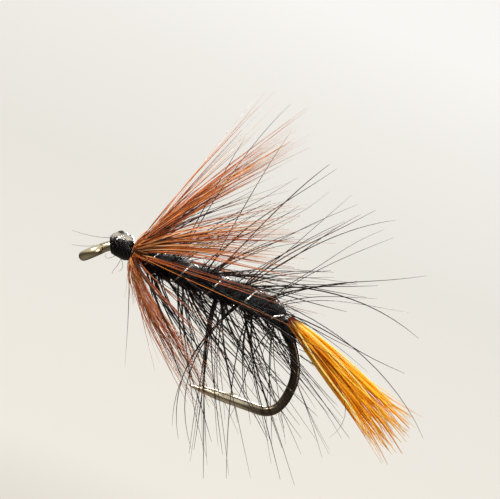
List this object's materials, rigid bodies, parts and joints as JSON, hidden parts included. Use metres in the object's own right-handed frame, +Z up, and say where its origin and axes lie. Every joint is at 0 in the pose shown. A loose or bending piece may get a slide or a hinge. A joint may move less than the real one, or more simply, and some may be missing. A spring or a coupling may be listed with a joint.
{
  "type": "palmered fishing fly",
  "caption": "Palmered trout fly on a forged down-eye hook: ribbed black body, black body hackle, swept brown collar hackle, golden feather tail and varnished head.",
  "frame": {"origin": "centre of the hook eye", "axes": "+X along the hook shank from the eye to the bend, +Z up with the hook point hanging below the shank, -Y the near side"},
  "size_m": [0.0214, 0.0174, 0.0194],
  "materials": {
    "bronzed_wire": "carbon steel wire, bronzed dark brown with a smooth lacquered sheen",
    "tying_thread": "fine waxed black thread in close turns",
    "fur_dubbing": "black spun fur with loose sparkling fibres",
    "silver_tinsel": "bright flat silver tinsel",
    "black_feather": "glossy black cock hackle barbs, slightly brown where thin",
    "brown_feather": "glossy natural red-brown hackle barbs, paler at their edges",
    "golden_feather": "translucent golden yellow crest feather fibres",
    "head_varnish": "clear cellulose varnish over black thread, wet gloss"
  },
  "bodies": {
    "hook_and_body": {"hook": "bronzed_wire", "thread_base": "tying_thread", "body_dubbing": "fur_dubbing", "rib_tinsel": "silver_tinsel", "body_hackle_quill": "black_feather", "collar_quill": "brown_feather", "head_thread": "tying_thread", "head_varnish": "head_varnish"},
    "tail_feather_1": {"tail_feather_1": "golden_feather"},
    "tail_feather_2": {"tail_feather_2": "golden_feather"},
    "tail_feather_3": {"tail_feather_3": "golden_feather"},
    "body_hackle_1_top": {"body_hackle_1_top": "black_feather"},
    "body_hackle_1_far": {"body_hackle_1_far": "black_feather"},
    "body_hackle_1_under": {"body_hackle_1_under": "black_feather"},
    "body_hackle_1_near": {"body_hackle_1_near": "black_feather"},
    "body_hackle_2_top": {"body_hackle_2_top": "black_feather"},
    "body_hackle_2_far": {"body_hackle_2_far": "black_feather"},
    "body_hackle_2_under": {"body_hackle_2_under": "black_feather"},
    "body_hackle_2_near": {"body_hackle_2_near": "black_feather"},
    "body_hackle_3_top": {"body_hackle_3_top": "black_feather"},
    "body_hackle_3_far": {"body_hackle_3_far": "black_feather"},
    "body_hackle_3_under": {"body_hackle_3_under": "black_feather"},
    "body_hackle_3_near": {"body_hackle_3_near": "black_feather"},
    "body_hackle_4_top": {"body_hackle_4_top": "black_feather"},
    "body_hackle_4_far": {"body_hackle_4_far": "black_feather"},
    "body_hackle_4_under": {"body_hackle_4_under": "black_feather"},
    "body_hackle_4_near": {"body_hackle_4_near": "black_feather"},
    "body_hackle_5_top": {"body_hackle_5_top": "black_feather"},
    "body_hackle_5_far": {"body_hackle_5_far": "black_feather"},
    "collar_hackle_top": {"collar_hackle_top": "brown_feather"},
    "collar_hackle_near_upper": {"collar_hackle_near_upper": "brown_feather"},
    "collar_hackle_near": {"collar_hackle_near": "brown_feather"},
    "collar_hackle_near_lower": {"collar_hackle_near_lower": "brown_feather"},
    "collar_hackle_under": {"collar_hackle_under": "brown_feather"},
    "collar_hackle_far_lower": {"collar_hackle_far_lower": "brown_feather"},
    "collar_hackle_far": {"collar_hackle_far": "brown_feather"},
    "collar_hackle_far_upper": {"collar_hackle_far_upper": "brown_feather"}
  },
  "joints": [
    {"name": "tail_feather_1_flex", "type": "hinge", "parent": "hook_and_body", "child": "tail_feather_1", "pos_m": [0.01207, 0, 0.00052], "axis": [0, 1, 0], "range_deg": [-12, 12], "stiffness_Nm_per_rad": 0.00000075},
    {"name": "tail_feather_2_flex", "type": "hinge", "parent": "hook_and_body", "child": "tail_feather_2", "pos_m": [0.01207, -0.00052, 0.00052], "axis": [0, 1, 0], "range_deg": [-12, 12], "stiffness_Nm_per_rad": 0.00000068},
    {"name": "tail_feather_3_flex", "type": "hinge", "parent": "hook_and_body", "child": "tail_feather_3", "pos_m": [0.01207, 0.00052, 0.00052], "axis": [0, 1, 0], "range_deg": [-12, 12], "stiffness_Nm_per_rad": 0.00000076},
    {"name": "body_hackle_1_top_sweep", "type": "hinge", "parent": "hook_and_body", "child": "body_hackle_1_top", "pos_m": [0.00299, 0, 0.00173], "axis": [0, 1, 0], "range_deg": [-15, 30], "stiffness_Nm_per_rad": 0.00000018},
    {"name": "body_hackle_1_far_sweep", "type": "hinge", "parent": "hook_and_body", "child": "body_hackle_1_far", "pos_m": [0.00348, 0.00093, 0.0008], "axis": [0, 0, -1], "range_deg": [-9.05, 18.05], "stiffness_Nm_per_rad": 0.00000017},
    {"name": "body_hackle_1_under_sweep", "type": "hinge", "parent": "hook_and_body", "child": "body_hackle_1_under", "pos_m": [0.00398, 0, -0.00013], "axis": [0, -1, 0], "range_deg": [-15, 30], "stiffness_Nm_per_rad": 0.00000016},
    {"name": "body_hackle_1_near_sweep", "type": "hinge", "parent": "hook_and_body", "child": "body_hackle_1_near", "pos_m": [0.00447, -0.00093, 0.0008], "axis": [0, 0, 1], "range_deg": [-9.05, 18.05], "stiffness_Nm_per_rad": 0.00000017},
    {"name": "body_hackle_2_top_sweep", "type": "hinge", "parent": "hook_and_body", "child": "body_hackle_2_top", "pos_m": [0.00496, 0, 0.00173], "axis": [0, 1, 0], "range_deg": [-15, 30], "stiffness_Nm_per_rad": 0.00000018},
    {"name": "body_hackle_2_far_sweep", "type": "hinge", "parent": "hook_and_body", "child": "body_hackle_2_far", "pos_m": [0.00545, 0.00093, 0.0008], "axis": [0, 0, -1], "range_deg": [-9.05, 18.05], "stiffness_Nm_per_rad": 0.00000017},
    {"name": "body_hackle_2_under_sweep", "type": "hinge", "parent": "hook_and_body", "child": "body_hackle_2_under", "pos_m": [0.00595, 0, -0.00013], "axis": [0, -1, 0], "range_deg": [-15, 30], "stiffness_Nm_per_rad": 0.00000016},
    {"name": "body_hackle_2_near_sweep", "type": "hinge", "parent": "hook_and_body", "child": "body_hackle_2_near", "pos_m": [0.00644, -0.00093, 0.0008], "axis": [0, 0, 1], "range_deg": [-9.05, 18.05], "stiffness_Nm_per_rad": 0.00000017},
    {"name": "body_hackle_3_top_sweep", "type": "hinge", "parent": "hook_and_body", "child": "body_hackle_3_top", "pos_m": [0.00693, 0, 0.00173], "axis": [0, 1, 0], "range_deg": [-15, 30], "stiffness_Nm_per_rad": 0.00000018},
    {"name": "body_hackle_3_far_sweep", "type": "hinge", "parent": "hook_and_body", "child": "body_hackle_3_far", "pos_m": [0.00742, 0.00093, 0.0008], "axis": [0, 0, -1], "range_deg": [-9.05, 18.05], "stiffness_Nm_per_rad": 0.00000017},
    {"name": "body_hackle_3_under_sweep", "type": "hinge", "parent": "hook_and_body", "child": "body_hackle_3_under", "pos_m": [0.00792, 0, -0.00013], "axis": [0, -1, 0], "range_deg": [-15, 30], "stiffness_Nm_per_rad": 0.00000016},
    {"name": "body_hackle_3_near_sweep", "type": "hinge", "parent": "hook_and_body", "child": "body_hackle_3_near", "pos_m": [0.00841, -0.00093, 0.0008], "axis": [0, 0, 1], "range_deg": [-9.05, 18.05], "stiffness_Nm_per_rad": 0.00000017},
    {"name": "body_hackle_4_top_sweep", "type": "hinge", "parent": "hook_and_body", "child": "body_hackle_4_top", "pos_m": [0.0089, 0, 0.00173], "axis": [0, 1, 0], "range_deg": [-15, 30], "stiffness_Nm_per_rad": 0.00000018},
    {"name": "body_hackle_4_far_sweep", "type": "hinge", "parent": "hook_and_body", "child": "body_hackle_4_far", "pos_m": [0.00939, 0.00093, 0.0008], "axis": [0, 0, -1], "range_deg": [-9.05, 18.05], "stiffness_Nm_per_rad": 0.00000017},
    {"name": "body_hackle_4_under_sweep", "type": "hinge", "parent": "hook_and_body", "child": "body_hackle_4_under", "pos_m": [0.00989, 0, -0.00013], "axis": [0, -1, 0], "range_deg": [-15, 30], "stiffness_Nm_per_rad": 0.00000016},
    {"name": "body_hackle_4_near_sweep", "type": "hinge", "parent": "hook_and_body", "child": "body_hackle_4_near", "pos_m": [0.01038, -0.00093, 0.00077], "axis": [0.1588, 0, 0.9873], "range_deg": [-9.05, 18.05], "stiffness_Nm_per_rad": 0.00000018},
    {"name": "body_hackle_5_top_sweep", "type": "hinge", "parent": "hook_and_body", "child": "body_hackle_5_top", "pos_m": [0.01119, 0, 0.00151], "axis": [0, 1, 0], "range_deg": [-15, 30], "stiffness_Nm_per_rad": 0.00000018},
    {"name": "body_hackle_5_far_sweep", "type": "hinge", "parent": "hook_and_body", "child": "body_hackle_5_far", "pos_m": [0.01129, 0.00093, 0.00043], "axis": [-0.5066, 0, -0.8622], "range_deg": [-9.05, 18.05], "stiffness_Nm_per_rad": 0.0000002},
    {"name": "collar_hackle_top_sweep", "type": "hinge", "parent": "hook_and_body", "child": "collar_hackle_top", "pos_m": [0.0024, 0, 0.00146], "axis": [0, 1, 0], "range_deg": [-12, 34], "stiffness_Nm_per_rad": 0.00000033},
    {"name": "collar_hackle_near_upper_sweep", "type": "hinge", "parent": "hook_and_body", "child": "collar_hackle_near_upper", "pos_m": [0.0024, -0.00047, 0.00127], "axis": [0, 0.7071, 0.7071], "range_deg": [-9.05, 25.55], "stiffness_Nm_per_rad": 0.00000039},
    {"name": "collar_hackle_near_sweep", "type": "hinge", "parent": "hook_and_body", "child": "collar_hackle_near", "pos_m": [0.0024, -0.00066, 0.0008], "axis": [0, 0, 1], "range_deg": [-6.05, 17.05], "stiffness_Nm_per_rad": 0.00000042},
    {"name": "collar_hackle_near_lower_sweep", "type": "hinge", "parent": "hook_and_body", "child": "collar_hackle_near_lower", "pos_m": [0.0024, -0.00047, 0.00033], "axis": [0, -0.7071, 0.7071], "range_deg": [-6.65, 18.75], "stiffness_Nm_per_rad": 0.00000031},
    {"name": "collar_hackle_under_sweep", "type": "hinge", "parent": "hook_and_body", "child": "collar_hackle_under", "pos_m": [0.0024, 0, 0.00014], "axis": [0, -1, 0], "range_deg": [-9.65, 27.25], "stiffness_Nm_per_rad": 0.00000023},
    {"name": "collar_hackle_far_lower_sweep", "type": "hinge", "parent": "hook_and_body", "child": "collar_hackle_far_lower", "pos_m": [0.0024, 0.00047, 0.00033], "axis": [0, -0.7071, -0.7071], "range_deg": [-6.65, 18.75], "stiffness_Nm_per_rad": 0.00000031},
    {"name": "collar_hackle_far_sweep", "type": "hinge", "parent": "hook_and_body", "child": "collar_hackle_far", "pos_m": [0.0024, 0.00066, 0.0008], "axis": [0, 0, -1], "range_deg": [-6.05, 17.05], "stiffness_Nm_per_rad": 0.00000042},
    {"name": "collar_hackle_far_upper_sweep", "type": "hinge", "parent": "hook_and_body", "child": "collar_hackle_far_upper", "pos_m": [0.0024, 0.00047, 0.00127], "axis": [0, 0.7071, -0.7071], "range_deg": [-9.05, 25.55], "stiffness_Nm_per_rad": 0.00000039}
  ],
  "couplings": [
    {"joint": "tail_feather_2_flex", "follows": "tail_feather_1_flex", "ratio": 1},
    {"joint": "tail_feather_3_flex", "follows": "tail_feather_1_flex", "ratio": 1},
    {"joint": "body_hackle_1_far_sweep", "follows": "body_hackle_1_top_sweep", "ratio": 0.6},
    {"joint": "body_hackle_1_under_sweep", "follows": "body_hackle_1_top_sweep", "ratio": 1},
    {"joint": "body_hackle_1_near_sweep", "follows": "body_hackle_1_top_sweep", "ratio": 0.6},
    {"joint": "body_hackle_2_top_sweep", "follows": "body_hackle_1_top_sweep", "ratio": 1},
    {"joint": "body_hackle_2_far_sweep", "follows": "body_hackle_1_top_sweep", "ratio": 0.6},
    {"joint": "body_hackle_2_under_sweep", "follows": "body_hackle_1_top_sweep", "ratio": 1},
    {"joint": "body_hackle_2_near_sweep", "follows": "body_hackle_1_top_sweep", "ratio": 0.6},
    {"joint": "body_hackle_3_top_sweep", "follows": "body_hackle_1_top_sweep", "ratio": 1},
    {"joint": "body_hackle_3_far_sweep", "follows": "body_hackle_1_top_sweep", "ratio": 0.6},
    {"joint": "body_hackle_3_under_sweep", "follows": "body_hackle_1_top_sweep", "ratio": 1},
    {"joint": "body_hackle_3_near_sweep", "follows": "body_hackle_1_top_sweep", "ratio": 0.6},
    {"joint": "body_hackle_4_top_sweep", "follows": "body_hackle_1_top_sweep", "ratio": 1},
    {"joint": "body_hackle_4_far_sweep", "follows": "body_hackle_1_top_sweep", "ratio": 0.6},
    {"joint": "body_hackle_4_under_sweep", "follows": "body_hackle_1_top_sweep", "ratio": 1},
    {"joint": "body_hackle_4_near_sweep", "follows": "body_hackle_1_top_sweep", "ratio": 0.6},
    {"joint": "body_hackle_5_top_sweep", "follows": "body_hackle_1_top_sweep", "ratio": 1},
    {"joint": "body_hackle_5_far_sweep", "follows": "body_hackle_1_top_sweep", "ratio": 0.6},
    {"joint": "collar_hackle_near_upper_sweep", "follows": "collar_hackle_top_sweep", "ratio": 0.75},
    {"joint": "collar_hackle_near_sweep", "follows": "collar_hackle_top_sweep", "ratio": 0.5},
    {"joint": "collar_hackle_near_lower_sweep", "follows": "collar_hackle_top_sweep", "ratio": 0.55},
    {"joint": "collar_hackle_under_sweep", "follows": "collar_hackle_top_sweep", "ratio": 0.8},
    {"joint": "collar_hackle_far_lower_sweep", "follows": "collar_hackle_top_sweep", "ratio": 0.55},
    {"joint": "collar_hackle_far_sweep", "follows": "collar_hackle_top_sweep", "ratio": 0.5},
    {"joint": "collar_hackle_far_upper_sweep", "follows": "collar_hackle_top_sweep", "ratio": 0.75}
  ]
}
